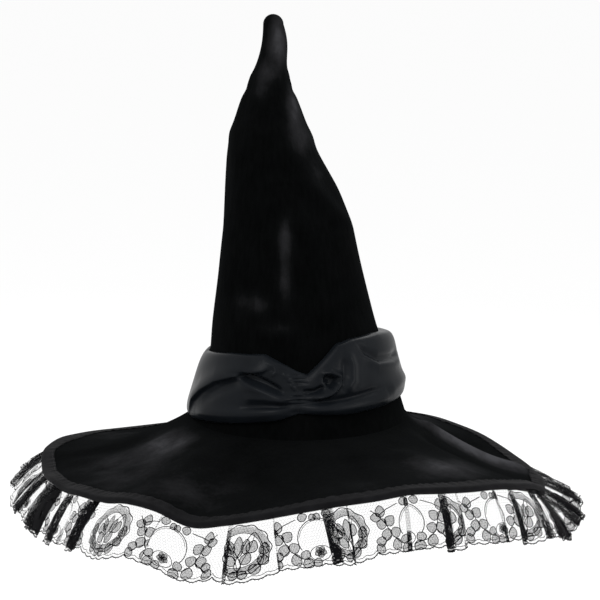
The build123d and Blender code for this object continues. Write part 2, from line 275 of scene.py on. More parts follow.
# points across the brim, in degrees and share of its width, then height and width of the fold
BRIM_FOLDS = [
    ([(1, 0.0), (3, 0.3), (4, 0.6), (4, 0.97)], 9.5, 15, 8),
    ([(344, 0.05), (343, 0.3), (346, 0.6), (350, 0.9)], -4.5, 15),
    ([(306, 0.3), (309, 0.6), (316, 0.92)], 3.5, 17),
    ([(286, 0.3), (286, 0.6), (285, 0.9)], -1.6, 15),
    ([(228, 0.2), (234, 0.6), (238, 0.9)], 2.2, 17),
    ([(213, 0.25), (207, 0.65), (203, 0.9)], -2.2, 14),
    ([(200, 0.05), (198, 0.3), (193, 0.6), (188, 0.9)], 2.5, 12),
    ([(253, 0.45), (262, 0.7), (268, 0.95)], -1.6, 12),
    ([(120, 0.2), (126, 0.6), (128, 0.9)], 2.5, 17),
    ([(70, 0.3), (64, 0.6), (60, 0.9)], 2.0, 17),
    ([(95, 0.35), (92, 0.7), (90, 0.95)], -2.0, 15),
    ([(38, 0.2), (32, 0.5), (26, 0.8)], -3.0, 15),
]


def brim_surface(degrees, share, under=0.0):
    """Brim cloth, from 0 at the crown to 1 at the edge, lowered by under."""
    drop, bell = round_table(BRIM_DROOP, degrees), round_table(BRIM_BELL, degrees)
    reach = np.sqrt(BRIM_WIDTH**2 - drop**2)
    r = BRIM_INNER_R + share * reach
    a = np.radians(degrees)
    x, y = r * np.cos(a), r * np.sin(a)
    lines = []
    for points, *rest in BRIM_FOLDS:
        at = [(math.radians(d), BRIM_INNER_R + s * 132) for d, s in points]
        lines.append(([(far * math.cos(turn), far * math.sin(turn)) for turn, far in at], *rest))
    soft = folds(x, y, lines)
    soft = soft + waves(x, y, [(0.5, 0.045, 0.03, 0.5), (0.45, -0.03, 0.052, 1.9), (0.3, 0.08, -0.06, 3.0)])
    soft = soft * ease(share * 5) * ease((1.04 - share) * 6)
    z = -drop * share * (1 + bell * (1 - share)) + soft - under
    return np.stack([x, y, z], -1)


HALVES = {"left": (90.0, 270.0), "right": (-90.0, 90.0)}


def ride_brim(piece):
    """Bakes the piece's placement into its points."""
    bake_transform(piece)


def brim_half(side, top, bottom, material, name, edge=1.0):
    angles = np.linspace(*HALVES[side], 241)
    shares = np.concatenate([np.linspace(0, 0.9, 34), np.linspace(0.92, edge, 5)])
    upper = brim_surface(angles[:, None], shares[None, :], top)
    lower = brim_surface(angles[:, None], shares[None, ::-1], bottom)
    return closed_tube(f"{name}_{side}", np.concatenate([upper, lower], 1), material)


# ---- materials --------------------------------------------------------------------------------------
def material_with(name, color, roughness, **sockets):
    """New material with plain values on its shader's own sockets."""
    material = bpy.data.materials.new(name)
    material.use_nodes = True
    shader = material.node_tree.nodes["Principled BSDF"]
    shader.inputs["Base Color"].default_value = (*color, 1)
    shader.inputs["Roughness"].default_value = roughness
    for socket, value in sockets.items():
        shader.inputs[socket.replace("_", " ")].default_value = value
    return material, material.node_tree.nodes, material.node_tree.links, shader


def object_coords(nodes, links, scale=(1, 1, 1)):
    coords = nodes.new("ShaderNodeTexCoord")
    mapping = nodes.new("ShaderNodeMapping")
    mapping.inputs["Scale"].default_value = scale
    links.new(coords.outputs["Object"], mapping.inputs["Vector"])
    return mapping.outputs["Vector"]


def noise(nodes, links, vector, scale, detail=3.0, rough=0.55):
    texture = nodes.new("ShaderNodeTexNoise")
    texture.inputs["Scale"].default_value = scale
    texture.inputs["Detail"].default_value = detail
    texture.inputs["Roughness"].default_value = rough
    links.new(vector, texture.inputs["Vector"])
    return texture.outputs["Fac"]


def ramp(nodes, links, value, stops):
    node = nodes.new("ShaderNodeValToRGB")
    elements = node.color_ramp.elements
    while len(elements) < len(stops):
        elements.new(0.5)
    for element, (place, color) in zip(elements, stops):
        element.position = place
        element.color = (*color, 1) if hasattr(color, "__len__") else (color, color, color, 1)
    links.new(value, node.inputs["Fac"])
    return node.outputs["Color"]


def bump(nodes, links, shader, height, strength, distance, under=None):
    node = nodes.new("ShaderNodeBump")
    node.inputs["Strength"].default_value = strength
    node.inputs["Distance"].default_value = distance
    links.new(height, node.inputs["Height"])
    if under is not None:
        links.new(under, node.inputs["Normal"])
    links.new(node.outputs["Normal"], shader.inputs["Normal"])
    return node.outputs["Normal"]


def velvet_material():
    """Short black pile whose finest threads run up and down. Painted sheen: grey patches, read from a painted
    attribute, stand where the pile catches the light.
    """
    material, nodes, links, shader = material_with(
        "black_velvet", (0.003, 0.003, 0.003), 0.9,
        Sheen_Weight=0.012, Sheen_Roughness=0.5, Sheen_Tint=(0.8, 0.86, 0.9, 1), Specular_IOR_Level=0.0,
    )  # fmt: skip
    vector = object_coords(nodes, links)
    # Painted sheen: a per-point attribute turns the velvet grey where its pile catches the light.
    painted_sheen_node = nodes.new("ShaderNodeAttribute")
    painted_sheen_node.attribute_name = "painted_sheen"
    blotches = noise(nodes, links, vector, 34, 4, 0.62)
    streaks = noise(nodes, links, object_coords(nodes, links, (260, 260, 42)), 1.0, 3, 0.6)
    sheen_patch = nodes.new("ShaderNodeMath")
    sheen_patch.operation = "MULTIPLY"
    links.new(painted_sheen_node.outputs["Fac"], sheen_patch.inputs[0])
    links.new(ramp(nodes, links, blotches, [(0.28, 0.55), (0.68, 1.0)]), sheen_patch.inputs[1])
    both = nodes.new("ShaderNodeMath")
    both.operation = "MULTIPLY_ADD"
    links.new(streaks, both.inputs[0])
    both.inputs[1].default_value = 0.16
    links.new(sheen_patch.outputs[0], both.inputs[2])
    lift = nodes.new("ShaderNodeMath")
    lift.operation = "MULTIPLY_ADD"
    links.new(blotches, lift.inputs[0])
    lift.inputs[1].default_value = 0.18
    links.new(both.outputs[0], lift.inputs[2])
    # The upper stops are the painted sheen's grey; the lower ones are the velvet's own black, uneven at random.
    color = ramp(nodes, links, lift.outputs[0], [
        (0.10, (0.0008, 0.0009, 0.0009)), (0.28, (0.0026, 0.0028, 0.0029)),
        (0.60, (0.0150, 0.0150, 0.0162)), (1.0, (0.046, 0.0460, 0.0500)),
    ])  # fmt: skip
    links.new(color, shader.inputs["Base Color"])
    pile = noise(nodes, links, vector, 1500, 2, 0.6)
    soft = bump(nodes, links, shader, streaks, 0.35, 0.0012)
    bump(nodes, links, shader, pile, 0.5, 0.0004, soft)
    return material


def paint_sheen(piece, patches):
    """Writes the painted sheen: how grey the pile is painted where it catches the light. A patch is its middle,
    its three radii in mm, and how strong.
    """
    mesh = piece.data
    points = np.empty(len(mesh.vertices) * 3)
    mesh.vertices.foreach_get("co", points)
    points = points.reshape(-1, 3) / MM
    painted_sheen = np.zeros(len(points))
    for middle, radii, far in patches:
        painted_sheen += far * np.exp(-((((points - middle) / np.array(radii, float)) ** 2).sum(1)))
    painted_sheen = np.clip(painted_sheen, 0, 1).astype(np.float32)
    mesh.attributes.new("painted_sheen", "FLOAT", "POINT").data.foreach_set("value", painted_sheen)


# Painted sheen on the crown: grey patches where the pile catches the light, most on the front and towards the
# tip.
CROWN_SHEEN_PATCHES = [
    ((-12, -62, 178), (6, 16, 22), 0.40), ((-12, -68, 142), (6, 16, 18), 0.34), ((-36, -63, 118),
    (9, 14, 8), 0.30),
    ((-52, -52, 120), (8, 12, 9), 0.20), ((-20, -72, 97), (14, 14, 6), 0.24), ((-3, -18, 296),
    (8, 18, 22), 0.75),
    ((2, -20, 262), (12, 18, 15), 0.50), ((-18, -8, 352), (9, 16, 24), 0.85), ((-30, -14, 324),
    (9, 12, 10), 0.45),
    ((-34, -18, 306), (8, 12, 9), 0.35), ((18, -28, 235), (10, 16, 14), 0.22), ((-40, 40, 150),
    (20, 20, 40), 0.35),
    ((20, 50, 220), (16, 20, 30), 0.3), ((60, 30, 90), (16, 26, 30), 0.25), ((-70, 30, 80),
    (18, 24, 26), 0.25),
]  # fmt: skip
# Painted sheen on the brim: grey patches where the pile catches the light, and a painted highlight line along
# the crease on the right.
BRIM_SHEEN_PATCHES = [
    ((-128, -52, -18), (22, 34, 22), 0.60), ((-108, -70, -14), (16, 20, 14), 0.45),
    ((-170, -60, -34), (34, 30, 22), 0.30),
    ((-150, -120, -34), (60, 46, 30), 0.30), ((-95, -180, -34), (50, 30, 26), 0.28),
    ((122, -155, -14), (30, 30, 18), 0.62),
    ((150, -120, -22), (22, 34, 18), 0.35), ((118, 2, -8), (14, 9, 16), 0.55), ((140, 5, -24),
    (16, 10, 18), 0.85),
    ((163, 8, -34), (16, 10, 18), 0.95), ((187, 11, -42), (18, 12, 18), 0.95),
    ((211, 13, -54), (18, 13, 16), 0.7),
    ((205, -50, -48), (20, 30, 18), 0.25), ((60, -215, -18), (40, 24, 20), 0.15), ((-60, 200, -45),
    (60, 40, 30), 0.35),
    ((120, 180, -45), (50, 40, 30), 0.35), ((-190, 90, -45), (40, 40, 30), 0.3), ((10, 160, -30),
    (60, 24, 24), 0.25),
]  # fmt: skip


def satin_material():
    """Charcoal satin: smooth, with a clear shine on its folds, and fine weft lines."""
    material, nodes, links, shader = material_with(
        "charcoal_satin", (0.010, 0.0118, 0.0142), 0.28,
        Specular_IOR_Level=0.06, Anisotropic=0.3,
    )  # fmt: skip
    vector = object_coords(nodes, links)
    cloudy = noise(nodes, links, vector, 40, 3, 0.5)
    links.new(ramp(nodes, links, cloudy, [(0.3, (0.0042, 0.0052, 0.0066)), (0.75, (0.0066, 0.0079, 0.0098))]),
              shader.inputs["Base Color"])  # fmt: skip
    links.new(ramp(nodes, links, cloudy, [(0.3, 0.28), (0.8, 0.36)]), shader.inputs["Roughness"])
    weft = nodes.new("ShaderNodeTexWave")
    weft.wave_type, weft.bands_direction = "BANDS", "Z"
    weft.inputs["Scale"].default_value = 620
    weft.inputs["Distortion"].default_value = 1.2
    links.new(vector, weft.inputs["Vector"])
    bump(nodes, links, shader, weft.outputs["Fac"], 0.12, 0.0002)
    return material


def woven_material(name, dark, light, scale, roughness, sheen=0.15, strength=0.4):
    """Plain woven cloth: two crossed sets of threads, with a little unevenness."""
    material, nodes, links, shader = material_with(
        name, dark, roughness, Sheen_Weight=sheen, Sheen_Roughness=0.5, Specular_IOR_Level=0.07
    )
    vector = object_coords(nodes, links)
    height = None
    for direction in ("X", "Z"):
        threads = nodes.new("ShaderNodeTexWave")
        threads.wave_type, threads.bands_direction = "BANDS", direction
        threads.inputs["Scale"].default_value = scale
        threads.inputs["Distortion"].default_value = 0.8
        links.new(vector, threads.inputs["Vector"])
        if height is None:
            height = threads.outputs["Fac"]
        else:
            both = nodes.new("ShaderNodeMath")
            both.operation = "ADD"
            links.new(height, both.inputs[0])
            links.new(threads.outputs["Fac"], both.inputs[1])
            height = both.outputs[0]
    uneven = noise(nodes, links, vector, 90, 3, 0.6)
    links.new(ramp(nodes, links, uneven, [(0.3, dark), (0.75, light)]), shader.inputs["Base Color"])
    bump(nodes, links, shader, height, strength, 0.0003)
    return material


def thread_material(name, color, sheen=0.08):
    return material_with(name, color, 0.8, Sheen_Weight=sheen, Specular_IOR_Level=0.05)[0]


def tulle_material():
    """Net so fine that it only tints what is behind it."""
    return material_with("lace_net_ground", (0.012, 0.012, 0.013), 0.9, Alpha=0.11, Specular_IOR_Level=0.0)[0]


def wire_material():
    material, nodes, links, shader = material_with("steel_wire", (0.35, 0.35, 0.36), 0.4, Metallic=1.0)
    grain = noise(nodes, links, object_coords(nodes, links), 400, 3)
    links.new(ramp(nodes, links, grain, [(0.3, 0.3), (0.8, 0.5)]), shader.inputs["Roughness"])
    return material


def wadding_material():
    material, nodes, links, shader = material_with("white_wadding", (0.7, 0.7, 0.67), 0.95, Sheen_Weight=0.4)
    fibres = noise(nodes, links, object_coords(nodes, links), 260, 5, 0.7)
    links.new(ramp(nodes, links, fibres, [(0.3, (0.55, 0.55, 0.52)), (0.7, (0.8, 0.8, 0.77))]),
              shader.inputs["Base Color"])  # fmt: skip
    bump(nodes, links, shader, fibres, 0.8, 0.001)
    return material


VELVET_CLOTH = velvet_material()
SATIN = satin_material()
TAPE = woven_material("bias_tape", (0.0024, 0.0024, 0.0029), (0.0068, 0.0068, 0.0078), 900, 0.85, 0.01)
UNDERSIDE = woven_material("brim_facing_cloth", (0.006, 0.006, 0.0065),
                           (0.012, 0.012, 0.0125), 700, 0.85, 0.08)
LINING_CLOTH = woven_material("lining_cloth", (0.010, 0.010, 0.012),
                              (0.016, 0.016, 0.018), 1100, 0.5, 0.1, 0.2)
BUCKRAM = woven_material("buckram", (0.07, 0.07, 0.07), (0.11, 0.11, 0.11), 420, 0.9, 0.1, 0.7)
RIBBON = woven_material("sweatband_ribbon", (0.010, 0.010, 0.010), (0.017, 0.017, 0.017), 800, 0.7)
LACE_THREAD = thread_material("lace_thread", (0.0035, 0.0035, 0.0042), 0.01)
SEWING_THREAD = thread_material("sewing_thread", (0.008, 0.008, 0.009))
TULLE = tulle_material()
WIRE, WADDING = wire_material(), wadding_material()


# ---- repeats ----------------------------------------------------------------------------------------
def node_tree(name, inputs):
    """Empty geometry tree with named inputs beside the shape itself."""
    tree = bpy.data.node_groups.new(name, "GeometryNodeTree")
    tree.interface.new_socket("Geometry", in_out="INPUT", socket_type="NodeSocketGeometry")
    for title, kind, value in inputs:
        socket = tree.interface.new_socket(title, in_out="INPUT", socket_type=kind)
        if value is not None:
            socket.default_value = value
    tree.interface.new_socket("Geometry", in_out="OUTPUT", socket_type="NodeSocketGeometry")
    return tree, tree.nodes.new("NodeGroupInput"), tree.nodes.new("NodeGroupOutput")


def finish_tree(tree, shape, group, output):
    """Ends a tree: its instances become a mesh of their own and take the Material input."""
    realize = tree.nodes.new("GeometryNodeRealizeInstances")
    paint = tree.nodes.new("GeometryNodeSetMaterial")
    tree.links.new(shape, realize.inputs["Geometry"])
    tree.links.new(realize.outputs["Geometry"], paint.inputs["Geometry"])
    tree.links.new(group.outputs["Material"], paint.inputs["Material"])
    tree.links.new(paint.outputs["Geometry"], output.inputs["Geometry"])


def row_tree():
    """Lays copies of a shape in a row along X: how many, how far apart, and how far along the first is."""
    inputs = [("Count", "NodeSocketInt", 1), ("Spacing", "NodeSocketFloat", 0.1),
              ("First", "NodeSocketFloat", 0.0), ("Material", "NodeSocketMaterial", None)]  # fmt: skip
    tree, group, output = node_tree("shapes_in_a_row", inputs)
    line = tree.nodes.new("GeometryNodeMeshLine")
    step, start = (tree.nodes.new("ShaderNodeCombineXYZ") for _ in range(2))
    place = tree.nodes.new("GeometryNodeInstanceOnPoints")
    tree.links.new(group.outputs["Count"], line.inputs["Count"])
    tree.links.new(group.outputs["Spacing"], step.inputs["X"])
    tree.links.new(group.outputs["First"], start.inputs["X"])
    tree.links.new(step.outputs["Vector"], line.inputs["Offset"])
    tree.links.new(start.outputs["Vector"], line.inputs["Start Location"])
    tree.links.new(line.outputs["Mesh"], place.inputs["Points"])
    tree.links.new(group.outputs["Geometry"], place.inputs["Instance"])
    finish_tree(tree, place.outputs["Instances"], group, output)
    return tree


def stitch_tree():
    """Lays stitches along a line: how far apart, how long and how thick."""
    inputs = [("Spacing", "NodeSocketFloat", 0.003), ("Length", "NodeSocketFloat", 0.002),
              ("Thickness", "NodeSocketFloat", 0.0005), ("Material", "NodeSocketMaterial", None)]  # fmt: skip
    tree, group, output = node_tree("stitches_on_a_line", inputs)
    points = tree.nodes.new("GeometryNodeCurveToPoints")
    points.mode = "LENGTH"
    stitch = tree.nodes.new("GeometryNodeMeshIcoSphere")
    stitch.inputs["Radius"].default_value = 0.5
    stitch.inputs["Subdivisions"].default_value = 2
    size = tree.nodes.new("ShaderNodeCombineXYZ")
    place = tree.nodes.new("GeometryNodeInstanceOnPoints")
    tree.links.new(group.outputs["Geometry"], points.inputs["Curve"])
    tree.links.new(group.outputs["Spacing"], points.inputs["Length"])
    tree.links.new(points.outputs["Points"], place.inputs["Points"])
    tree.links.new(points.outputs["Rotation"], place.inputs["Rotation"])
    tree.links.new(stitch.outputs["Mesh"], place.inputs["Instance"])
    for socket, source in zip("XYZ", ("Thickness", "Thickness", "Length")):
        tree.links.new(group.outputs[source], size.inputs[socket])
    tree.links.new(size.outputs["Vector"], place.inputs["Scale"])
    finish_tree(tree, place.outputs["Instances"], group, output)
    return tree


ROW, STITCHES = row_tree(), stitch_tree()


def grown(carrier, tree, values, name):
    """Runs a tree on a carrier shape and keeps the result as a plain mesh piece."""
    modifier = carrier.modifiers.new(tree.name, "NODES")
    modifier.node_group = tree
    for item in tree.interface.items_tree:
        if item.in_out == "INPUT" and item.name in values:
            modifier[item.identifier] = values[item.name]
    bpy.context.view_layer.update()
    depsgraph = bpy.context.evaluated_depsgraph_get()
    mesh = bpy.data.meshes.new_from_object(carrier.evaluated_get(depsgraph), depsgraph=depsgraph)
    carrier.modifiers.remove(modifier)
    bpy.data.objects.remove(carrier)
    mesh.name = name
    piece = bpy.data.objects.new(name, mesh)
    bpy.context.scene.collection.objects.link(piece)
    mesh.polygons.foreach_set("use_smooth", [True] * len(mesh.polygons))
    return piece


def stitched_line(name, points, spacing, length, thick, material, closed=False):
    curve = bpy.data.curves.new(f"{name}_line", "CURVE")
    curve.dimensions = "3D"
    spline = curve.splines.new("POLY")
    spline.points.add(len(points) - 1)
    spline.use_cyclic_u = closed
    homogeneous = np.concatenate([np.asarray(points) * MM, np.ones((len(points), 1))], 1)
    spline.points.foreach_set("co", homogeneous.ravel())
    carrier = bpy.data.objects.new(f"{name}_line", curve)
    bpy.context.scene.collection.objects.link(carrier)
    values = {"Spacing": spacing * MM, "Length": length * MM, "Thickness": thick * MM, "Material": material}
    return grown(carrier, STITCHES, values, name)


# ---- crown ------------------------------------------------------------------------------------------
def bends_at_lean(piece):
    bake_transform(piece)


def make_crown():
    lower = crown_cloth("crown_velvet", -1.2, CROWN_SPLIT, 0, VELVET, VELVET_CLOTH)
    # Painted sheen patches written onto the lower crown velvet.
    paint_sheen(lower, CROWN_SHEEN_PATCHES)
    bends_at_lean(lower)
    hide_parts("crown_velvet_lower", "crown_velvet_upper")
    tip = crown_cloth("crown_velvet_point", CROWN_SPLIT, 367, 0, VELVET, VELVET_CLOTH, closed_top=True)
    # Painted sheen patches written onto the crown's point.
    paint_sheen(tip, CROWN_SHEEN_PATCHES)
    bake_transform(tip)
    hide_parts("crown_velvet_tip")
    under = VELVET + LAYER_GAP
    middle = crown_cloth("crown_interlining", -0.2, CROWN_SPLIT, under, 1.0, BUCKRAM)
    bends_at_lean(middle)
    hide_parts("crown_interlining_lower", "crown_interlining_upper",
                "crown_back_seam_lower", "crown_back_seam_upper")  # fmt: skip
    lining = crown_cloth("crown_lining", -0.2, LINING_TOP, under + 1.0 + LAYER_GAP, 0.5, LINING_CLOTH)
    bends_at_lean(lining)
    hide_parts("crown_lining_lower", "crown_lining_upper")
    seam_z = np.linspace(4, LINING_TOP - 4, 160)
    seam = crown_surface(np.full(seam_z.shape, 90.0), seam_z, under + 1.9)
    stitches = stitched_line("lining_seam_stitches", seam, 3.0, 2.4, 0.45, SEWING_THREAD)
    bends_at_lean(stitches)


def make_sweatband():
    """Ribbed ribbon: fine upright ribs all round, with a rolled top and bottom edge."""
    ribs, heights = 720, np.array([-6, -5.7, -4, 0, 6, 12, 14.8, 15.6, 16.0])
    a = np.radians(np.linspace(0, 360, ribs, endpoint=False))
    rib = 0.12 * np.where(np.arange(ribs) % 2, 1, -1)
    edge = np.where((heights < -5) | (heights > 15), 0.0, 1.0)
    inside = SWEATBAND_R + 0.15 + rib[:, None] * edge[None, :]
    outside = np.full(inside.shape, SWEATBAND_R + 0.95)
    r = np.concatenate([inside, outside[:, ::-1]], 1)
    z = np.concatenate([heights, heights[::-1]])[None, :] + 0 * r
    loops = np.stack([r * np.cos(a)[:, None], r * np.sin(a)[:, None], z], -1)
    band = sewn_grid("sweatband_ribbon", loops, RIBBON, wrap_rows=True, wrap_columns=True)
    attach(band, "hat_base")
    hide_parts("sweatband")
    ring = np.radians(np.linspace(0, 360, 240, endpoint=False))
    r = SWEATBAND_R - 0.1
    line = np.stack([r * np.cos(ring), r * np.sin(ring), 0 * ring - 3.2], -1)
    stitches = stitched_line("sweatband_stitches", line, 3.4, 2.6, 0.5, SEWING_THREAD, closed=True)
    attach(stitches, "hat_base")


def make_head_seam():
    """Rolled seam between crown and brim, seen from below."""
    around = np.radians(np.linspace(0, 360, 180, endpoint=False))
    section = np.radians(np.linspace(0, 360, 16, endpoint=False))
    pucker = 0.25 * np.sin(around * 46 + np.sin(around * 7))
    r = 97.3 + 4.3 * np.cos(section)[None, :] + 0 * around[:, None]
    z = -1.9 + (1.5 + 0.2 * pucker[:, None]) * np.sin(section)[None, :]
    loops = np.stack([r * np.cos(around)[:, None], r * np.sin(around)[:, None], z], -1)
    seam = sewn_grid("head_opening_seam", loops, UNDERSIDE, wrap_rows=True, wrap_columns=True)
    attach(seam, "hat_base")
    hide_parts("crown_brim_seam")


# ---- brim -------------------------------------------------------------------------------------------
def tape_width(degrees):
    """Width of the tape's upper fold: it wanders, as tape put on by hand does."""
    a = np.radians(degrees)
    return TAPE_WIDTH + 0.8 * np.sin(5 * a + 0.4) + 0.6 * np.sin(13 * a + 2.0) + 0.35 * np.sin(29 * a + 1.0)


def edge_frame(degrees):
    """Point on the brim's edge in the middle of its layers, the way outwards along the cloth, and upwards."""
    edge = brim_surface(degrees, 1.0, BRIM_STACK / 2)
    inward = brim_surface(degrees, 0.93, BRIM_STACK / 2)
    out = edge - inward
    out /= np.linalg.norm(out, axis=-1, keepdims=True)
    a = np.radians(degrees)
    around = np.stack([-np.sin(a), np.cos(a), 0 * a], -1)
    up = np.cross(out, around)
    up *= np.sign(up[..., 2:3])
    return edge, out, up


def tape_section(degrees, grow):
    """Half loop of the tape over the edge: from the upper fold, round the wire, to the lower fold."""
    edge, out, up = edge_frame(degrees)
    width = tape_width(degrees)[:, None]
    half = BRIM_STACK / 2 + LAYER_GAP + grow
    t = np.linspace(0, 1, 9)[None, :]
    turn = np.radians(np.linspace(80, -80, 9))[None, :]
    flat_out, flat_up = -width * (1 - t), half + 0 * width * t
    a = np.radians(degrees)[:, None]
    pucker = np.sin(a * 168 + 3 * np.sin(a * 11)) * 0.32 + np.sin(a * 91 + 2.0) * 0.22
    lift = pucker * (1 - t) * (1 if grow > 0.3 else 0.7)
    along = np.concatenate([flat_out, 1.3 + (half + 0.25) * np.cos(turn) + 0 * width, flat_out[:, ::-1]], 1)
    fold = (half + 0.1) * np.sin(turn) + 0 * width
    rise = np.concatenate([flat_up + lift, fold, -flat_up - lift[:, ::-1]], 1)
    return edge[:, None] + out[:, None] * along[..., None] + up[:, None] * rise[..., None]


def make_brim():
    layers = [
        ("brim_velvet", 0, VELVET, VELVET_CLOTH, "velvet"),
        ("brim_stiffener", VELVET + LAYER_GAP, STIFFENER, BUCKRAM, "buckram"),
        ("brim_facing", VELVET + STIFFENER + 2 * LAYER_GAP, FACING, UNDERSIDE, "underbrim"),
    ]
    for side, (start, end) in HALVES.items():
        for name, top, thick, material, slot in layers:
            piece = brim_half(side, top, top + thick, material, name + "_cloth")
            # The velvet layer gets its painted sheen patches and painted ridge highlight.
            if slot == "velvet":
                paint_sheen(piece, BRIM_SHEEN_PATCHES)
            ride_brim(piece)
            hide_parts(f"{name}_{side}", f"{name}_centre")
        angles = np.linspace(start, end, 961)
        loops = np.concatenate([tape_section(angles, TAPE_THICK), tape_section(angles, 0.0)[:, ::-1]], 1)
        tape = closed_tube(f"edge_tape_{side}", loops, TAPE)
        ride_brim(tape)
        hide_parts(f"brim_binding_{side}", "brim_binding_centre")
        edge, out, up = edge_frame(angles)
        ring = np.radians(np.linspace(0, 360, 10, endpoint=False))
        middle = edge + out * 1.3
        cos, sin = np.cos(ring)[None, :, None], np.sin(ring)[None, :, None]
        wire = middle[:, None] + out[:, None] * cos + up[:, None] * sin
        wire_piece = closed_tube(f"edge_wire_{side}", wire, WIRE)
        ride_brim(wire_piece)
        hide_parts(f"brim_wire_{side}", "brim_wire_centre")
        inset = (tape_width(angles) - 1.6)[:, None]
        for face, sign in (("top", 1), ("under", -1)):
            line = edge - out * inset + sign * up * (BRIM_STACK / 2 + LAYER_GAP + TAPE_THICK + 0.05)
            row = stitched_line(f"tape_stitches_{face}_{side}", line, 3.2, 2.3, 0.45, SEWING_THREAD)
            ride_brim(row)


# ---- satin band -------------------------------------------------------------------------------------
# angle, lower edge, upper edge
BAND_EDGES = [
    (-90, 23, 60), (-84, 22.5, 57), (-75, 21, 67), (-62, 20, 82), (-50, 21, 85), (-25, 22, 85),
    (0, 24, 80), (45, 20, 73), (90, 14, 66), (135, 8, 62), (180, 3, 61), (197, 3, 65),
    (224, 8, 71), (250, 14, 74), (258, 16, 69), (265, 20, 64), (270, 23, 60),
]  # fmt: skip
BAND_R = 88.0
# how far the puffed satin stands off the crown, at its lower edge, middle and upper edge
BAND_STAND = [
    (-90, 0, 0, 0), (-75, 0, 1, 1), (-60, 1, 2, 2), (-40, 1, 2, 2.5), (-20, 1.5, 3.5, 5), (0, 2, 4.5, 8),
    (20, 1.5, 3.5, 5), (45, 1, 2, 2), (90, 1, 1, 1), (135, 1, 1, 0.5), (165, 1, 0.5, 0), (180, 1, 0.5, 0),
    (200, 0.5, 0.5, 0), (220, 0.5, 0.5, 0), (250, 0, 0.5, 0.5), (270, 0, 0, 0),
]  # fmt: skip
# angle and height points, height of the fold, and its width above the line and below it
BAND_FOLDS = [
    ([(194, 8), (199, 22), (207, 34), (219, 46), (238, 57), (250, 61), (257, 67)], 4.6, 11, 2.3),
    ([(208, 25), (222, 39), (238, 50), (250, 54)], -2.2, 3.0, 5.0),
    ([(232, 53), (244, 46.5), (256, 41), (268, 36)], 3.8, 2.2, 6.5),
    ([(234, 55), (243, 53), (252, 49), (262, 42)], -6.0, 3.4, 3.0),
    ([(240, 36), (252, 36), (266, 34)], 1.4, 3.0),
    ([(238, 26), (252, 29), (268, 31)], -2.8, 4.0, 1.8),
    ([(204, 12), (225, 17), (245, 21), (266, 27)], 3.0, 6.0),
    ([(251, 70), (257, 66), (258, 60), (254, 56)], 1.8, 2.4),
    ([(262, 60), (266, 52), (269, 42)], 1.6, 2.0),
    ([(273, 41), (280, 43), (285, 47)], -4.5, 2.6),
    ([(284, 58), (290, 60), (295, 56), (294, 49), (288, 41), (278, 36)], 4.4, 2.3, 3.4),
    ([(285, 55), (290, 52), (287, 46)], -6.0, 3.4),
    ([(300, 70), (298, 56), (292, 46)], -1.8, 3.2),
    ([(303, 78), (304, 64), (302, 51), (296, 42)], 3.4, 5.0),
    ([(272, 33), (287, 33.5), (305, 36), (322, 38)], -3.4, 3.6, 1.8),
    ([(272, 27), (290, 26), (312, 28), (330, 30)], 2.6, 4.5),
    ([(311, 84), (316, 72), (326, 63), (342, 60), (356, 60)], -3.4, 5.0, 2.2),
    ([(313, 70), (324, 60), (342, 56), (356, 55)], 2.2, 2.4, 6.0),
    ([(326, 34), (345, 38), (365, 36)], 2.0, 6.0),
    ([(0, 40), (30, 36), (60, 30)], -1.6, 5.0, 2.5),
    ([(10, 62), (45, 56), (84, 46)], 2.6, 6.0, 3.0),
    ([(98, 44), (130, 48), (165, 50)], 2.6, 3.0, 6.0),
    ([(96, 32), (125, 30), (160, 22)], -2.2, 5.0, 2.5),
    ([(100, 22), (135, 18), (175, 14)], 2.2, 5.0),
    ([(20, 28), (50, 24), (80, 22)], 2.0, 4.0),
]


def band_surface(degrees, share, part):
    """Satin round the crown: share goes from the lower edge to the upper; part is 1 outside, 0 inside."""
    wrapped = np.mod(degrees + 90, 360) - 90
    edges, stand = np.array(BAND_EDGES, float), np.array(BAND_STAND, float)
    low, high = (np.interp(wrapped, edges[:, 0], edges[:, k]) for k in (1, 2))
    foot, belly, top = (np.interp(wrapped, stand[:, 0], stand[:, k]) for k in (1, 2, 3))
    z = low + share * (high - low)
    r, x = np.interp(z, CROWN_Z, CROWN_R), np.interp(z, CROWN_Z, CROWN_X)
    off = foot * (1 - share) * (1 - 2 * share)
    off = off + belly * 4 * share * (1 - share) + top * share * (2 * share - 1)
    round_edge = np.clip(1 - np.abs(2 * share - 1) ** 5, 0, 1) ** 0.5
    from_pinch = np.abs(np.mod(degrees - 270 + 180, 360) - 180)
    lobe = ease(from_pinch / 12)
    per_degree = math.pi / 180 * BAND_R
    lines = [([((d + 90) % 360 * per_degree, h) for d, h in p], *rest) for p, *rest in BAND_FOLDS]
    along = np.mod(degrees + 90, 360) * per_degree
    soft = np.zeros(np.broadcast(degrees, z).shape)
    for shift in (-360, 0, 360):
        soft = soft + folds(along + shift * per_degree, z, lines)
    gathers = np.cos(z * 1.35 + 2.2 * np.sin(z * 0.35)) * np.exp(-((from_pinch / 4.5) ** 2)) * 0.6
    puff = 2.4 + 3.4 * lobe + (soft + gathers) * (0.3 + 0.7 * round_edge)
    away = 0.5 + part * (0.6 + np.clip(puff, 0.5, 12) * round_edge + np.clip(off, 0, None))
    a = np.radians(degrees)
    return np.stack([x + (r + away) * np.cos(a), (r + away) * np.sin(a), z + 0 * a], -1)


